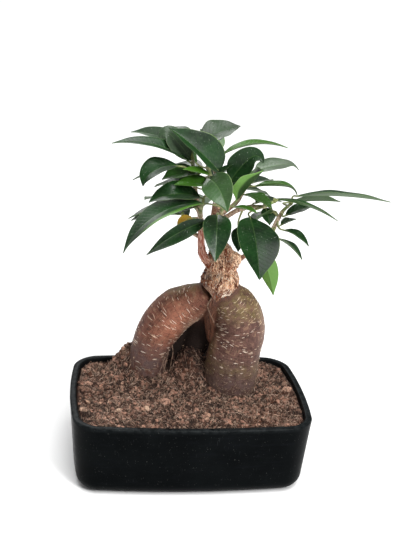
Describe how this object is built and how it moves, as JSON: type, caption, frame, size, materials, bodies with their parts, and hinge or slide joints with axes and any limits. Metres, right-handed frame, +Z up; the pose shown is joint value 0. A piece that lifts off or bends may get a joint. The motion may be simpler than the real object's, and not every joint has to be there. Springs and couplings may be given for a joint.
{
  "type": "ficus ginseng bonsai",
  "caption": "Ginseng fig bonsai: swollen aerial roots under a scarred trunk with leafy shoots, rooted in soil in a glazed rectangular pot with rounded corners.",
  "frame": {"origin": "the middle of the pot's foot, on the surface that the pot stands on", "axes": "+Z up; +X along the pot's long side, toward the shoot that reaches out furthest; -Y toward the front"},
  "size_m": [0.2404, 0.1693, 0.2732],
  "materials": {
    "glaze": "blue-black semi-gloss glaze",
    "soil": "moist peat and coir",
    "bark": "smooth living bark with pale dashes",
    "leaf": "waxy evergreen leaf",
    "old_leaf": "yellowed leaf"
  },
  "bodies": {
    "root": {"pot": "glaze", "soil": "soil", "ginseng_root": "bark", "shoot_top": "leaf", "shoot_left": "leaf", "shoot_low_left": "leaf", "shoot_front": "leaf", "shoot_mid_right": "leaf", "shoot_right": "leaf", "shoot_upper_right": "leaf", "shoot_rear": "leaf", "shoot_low_rear": "leaf", "yellow_leaf": "old_leaf"}
  },
  "joints": []
}
